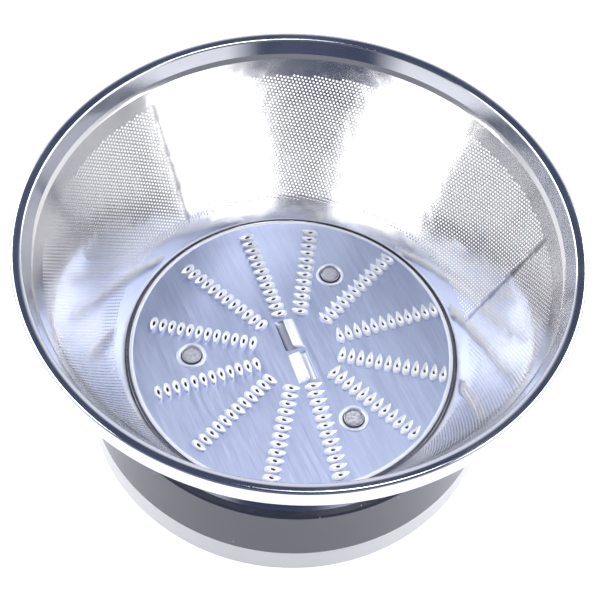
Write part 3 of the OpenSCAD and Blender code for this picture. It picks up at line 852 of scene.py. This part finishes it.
def grater_disc():
    """The whole disc in one mesh: flat top and underside, teeth, cutters, rivet rings and rounded edge."""
    parts, groups, tones, count = [], [], [], 0

    def add(points, faces, tone):
        nonlocal count
        parts.append(points.reshape(-1, 3))
        tones.append(np.broadcast_to(tone, points.shape[:-1]).ravel())
        groups.append(faces + count)
        count += len(parts[-1])

    top_holes, under_holes = [], []
    ring_set = tooth_rings()
    tooth_quads = grid_quads(len(ring_set), TOOTH_POINTS)[:, ::-1]
    for direction, across, start in ROWS:
        for k in range(TEETH):
            spot = (start * MM + k * TOOTH_PITCH, across * MM - HUMP_V)
            points = place_round(ring_set, spot, math.radians(direction))
            top_holes.append(points[0, :, :2])
            under_holes.append(points[-1, :, :2])
            add(points, tooth_quads, np.array(TOOTH_TONES)[:, None])
    rivet_rows = rivet_ring_rows()
    for k in range(RIVETS):
        points = place_round(rivet_rows, RIVET_CIRCLE_R, RIVET_ANGLE + k * 2 * math.pi / RIVETS)
        top_holes.append(points[0, :, :2])
        under_holes.append(points[-1, :, :2])
        add(points, grid_quads(len(rivet_rows), RIVET_AROUND)[:, ::-1], np.array(RING_TONES)[:, None])
    cutter = cutter_grid()
    for side in (0, math.pi):
        points = place_round(cutter, 0.0, CUTTER_ANGLE + side) + (*PATTERN_MIDDLE, 0)
        outline = np.concatenate([points[0, :-1], points[:-1, -1], points[-1, :0:-1], points[:0:-1, 0]])
        top_holes.append(outline[:, :2])
        tone = np.array(CUTTER_TONES) * np.array(CUTTER_FADE)[:, None]
        add(points, grid_quads(points.shape[0], points.shape[1], wrap_cols=False), tone)
    edge = disc_edge()
    rim = turned(edge, DISC_AROUND).reshape(len(edge), DISC_AROUND, 3)
    add(rim, grid_quads(len(edge), DISC_AROUND), np.array(BEAD_TONES)[:, None])
    flat = []
    for outline, holes, z, flip in ((rim[-1], top_holes, FLOOR_Z, 1), (rim[0], under_holes, DISC_UNDER, -1)):
        co, tris = sheet_faces(outline[:, :2], holes)
        flat.append(tris[:, ::flip] + count)
        parts.append(np.column_stack([co, np.full(len(co), z)]))
        tones.append(np.zeros(len(co)))
        count += len(co)
    points = np.concatenate(parts)
    keys, ids = np.unique(np.round(points / WELD_GRID).astype(np.int64), axis=0, return_inverse=True)
    first = np.zeros(len(keys), np.int64)
    first[ids[::-1].ravel()] = np.arange(len(points))[::-1]
    groups = [ids.ravel()[g] for g in flat + groups]
    tone = np.concatenate(tones)[first]
    return put_mesh("grater_plate", points[first], groups, 50, len(flat[0]) + len(flat[1]), tone)


finish_piece(grater_disc(), "brushed_steel", "grater_disc")

# %% [markdown]
# ## Rivets
# Each rivet is upset from a plain shank, so its head has a low rim round a rough, sunken middle, and its tail
# is spread over the washer. They are turned profiles, and the head's middle is roughened by a few waves.

# %% Rivets
RIVET_SECTION = ((2.4, -5.9), (3.0, -5.0), (2.0, -5.0), (2.0, 0.05), (3.05, 0.05), (3.1, 0.35), (3.0, 0.6),
                 (2.85, 0.66), (2.7, 0.5), (2.55, 0.3), (1.9, 0.22), (1.3, 0.24), (0.7, 0.26))
# Tone of each section point: painted shade on the shank, under the head, round its edge and on the inner
# slope of its rim, and the head's middle painted a little lighter.
RIVET_TONES = (0, 0, -1, -1, -1, -0.9, -0.2, -0.3, -0.6, -0.15, 0.1, 0.1, 0.1)
RIVET_STEPS = 40
ROUGH_R = 2.5 * MM                                   # the rough middle of a head
ROUGH_H = 0.06 * MM


def rivet(name, angle):
    """Turned section in mm about the rivet's axis, heights from the disc's top face, closed by a point on
    the axis at each end. In the head's middle the height gets three crossing waves."""
    section = np.array(RIVET_SECTION) * MM
    t = np.linspace(0, 2 * math.pi, RIVET_STEPS, endpoint=False)
    x, y = section[:, :1] * np.cos(t), section[:, :1] * np.sin(t)
    z = section[:, 1:] + 0 * t
    rough = np.sin(x * 3100 + 1) * np.sin(y * 2700) + np.sin((x + y) * 4300 + 2 * angle)
    in_middle = (section[:, :1] < ROUGH_R) & (section[:, 1:] > 0)
    z = z + in_middle * rough * ROUGH_H
    rows = np.stack([x, y, z], -1)
    poles = np.array([(0, 0, section[0, 1]), (0, 0, section[-1, 1])])
    points = np.concatenate([rows.reshape(-1, 3), poles])
    points += (RIVET_CIRCLE_R * math.cos(angle), RIVET_CIRCLE_R * math.sin(angle), FLOOR_Z)
    k = np.arange(RIVET_STEPS)
    nxt = np.roll(k, -1)
    last = (len(section) - 1) * RIVET_STEPS
    bottom = np.stack([nxt, k, np.full_like(k, len(points) - 2)], -1)
    top = np.stack([last + k, last + nxt, np.full_like(k, len(points) - 1)], -1)
    tone = np.concatenate([np.repeat(RIVET_TONES, RIVET_STEPS), [0, RIVET_TONES[-1]]])
    return put_mesh(name, points, [grid_quads(len(section), RIVET_STEPS), bottom, top], tone=tone)


for k in range(RIVETS):
    piece = rivet("rivet_%d" % (k + 1), RIVET_ANGLE + k * 2 * math.pi / RIVETS)
    finish_piece(piece, "rivet_steel", "rivets")

# %% [markdown]
# ## Floor and light
# Polished steel shows little but its surroundings, so these make most of its look. There is a plain pale
# floor, and a pale surround that is dark overhead, which the crown reflects, and dark in a patch straight in
# front, which the lip at the back reflects. Two large soft boxes stand behind the basket, left and right, and
# a small one hangs high above it and lightens the disc.

# %% Floor
FLOOR_SIZE = 6.0


def add_floor():
    """A large square just under the basket, with a faint mottle in its whiteness."""
    s = FLOOR_SIZE / 2
    z = cad_lo.z - 0.0002
    corners = np.array([(-s, -s, z), (s, -s, z), (s, s, z), (-s, s, z)])
    floor = put_mesh("floor", corners, [np.array([[0, 1, 2, 3]])])
    material, tree, shader = new_material("floor_paper", Roughness=0.9)
    tone = noise(tree, object_coords(tree), 3.0)
    tree.links.new(mix_colours(tree, tone, (0.90, 0.90, 0.91, 1), (0.93, 0.93, 0.93, 1)),
                   shader.inputs["Base Color"])
    shader.inputs["Emission Color"].default_value = (1, 1, 1, 1)
    shader.inputs["Emission Strength"].default_value = 0.55
    floor.data.materials.append(material)


add_floor()


# %% Surround
def add_surround():
    """World colour by direction: white near the horizon, pale behind and beside the basket, grey in front,
    and a dark, slightly blue gloom overhead. A patch straight in front is dark too."""
    world = bpy.data.worlds.new("surround")
    world.use_nodes = True
    tree = world.node_tree
    direction = tree.nodes.new("ShaderNodeTexCoord").outputs["Generated"]
    parts = add_node(tree, "ShaderNodeSeparateXYZ", {0: direction})
    y, z = parts.outputs[1], parts.outputs[2]
    dark = (0.070, 0.082, 0.135, 1)
    rear = mix_colours(tree, remap(tree, y, -0.35, 0.15, 0, 1), (0.22, 0.23, 0.27, 1), (0.88, 0.89, 0.95, 1))
    upper = mix_colours(tree, remap(tree, z, 0.66, 0.75, 0, 1), rear, dark)
    sky = mix_colours(tree, remap(tree, z, 0.14, 0.36, 0, 1), (0.95, 0.95, 0.97, 1), upper)
    ahead = remap(tree, y, -0.84, -0.93, 0, 1)
    low = remap(tree, z, 0.46, 0.32, 0, 1)
    patch = add_node(tree, "ShaderNodeMath", {0: ahead, 1: low}, operation="MULTIPLY").outputs[0]
    tree.links.new(mix_colours(tree, patch, sky, dark), tree.nodes["Background"].inputs[0])
    tree.nodes["Background"].inputs["Strength"].default_value = 1.0
    bpy.context.scene.world = world


def add_softbox(name, place, size, brightness):
    """A rectangular area light of a given size and brightness that faces the basket. The power of an area
    light is its brightness times pi times its area."""
    data = bpy.data.lights.new(name, "AREA")
    data.shape = "RECTANGLE"
    data.size, data.size_y = size
    data.energy = brightness * math.pi * size[0] * size[1]
    light = bpy.data.objects.new(name, data)
    light.location = place
    light.rotation_mode = "QUATERNION"
    light.rotation_quaternion = (Vector((0, 0, 0.04)) - Vector(place)).to_track_quat("-Z", "Y")
    bpy.context.scene.collection.objects.link(light)


# %% Place the lights
SOFTBOX_AWAY = 1.2
SOFTBOX_RISE = math.radians(48)

add_surround()
for name, azimuth in (("softbox_left", 163), ("softbox_right", 17)):
    turn = math.radians(azimuth)
    spot = (SOFTBOX_AWAY * math.cos(turn) * math.cos(SOFTBOX_RISE),
            SOFTBOX_AWAY * math.sin(turn) * math.cos(SOFTBOX_RISE), SOFTBOX_AWAY * math.sin(SOFTBOX_RISE))
    add_softbox(name, spot, (1.3, 0.5), 4.0)
add_softbox("softbox_above", (0.16, 0.16, 1.15), (0.34, 0.3), 5.0)
bpy.context.scene.view_settings.view_transform = "Standard"
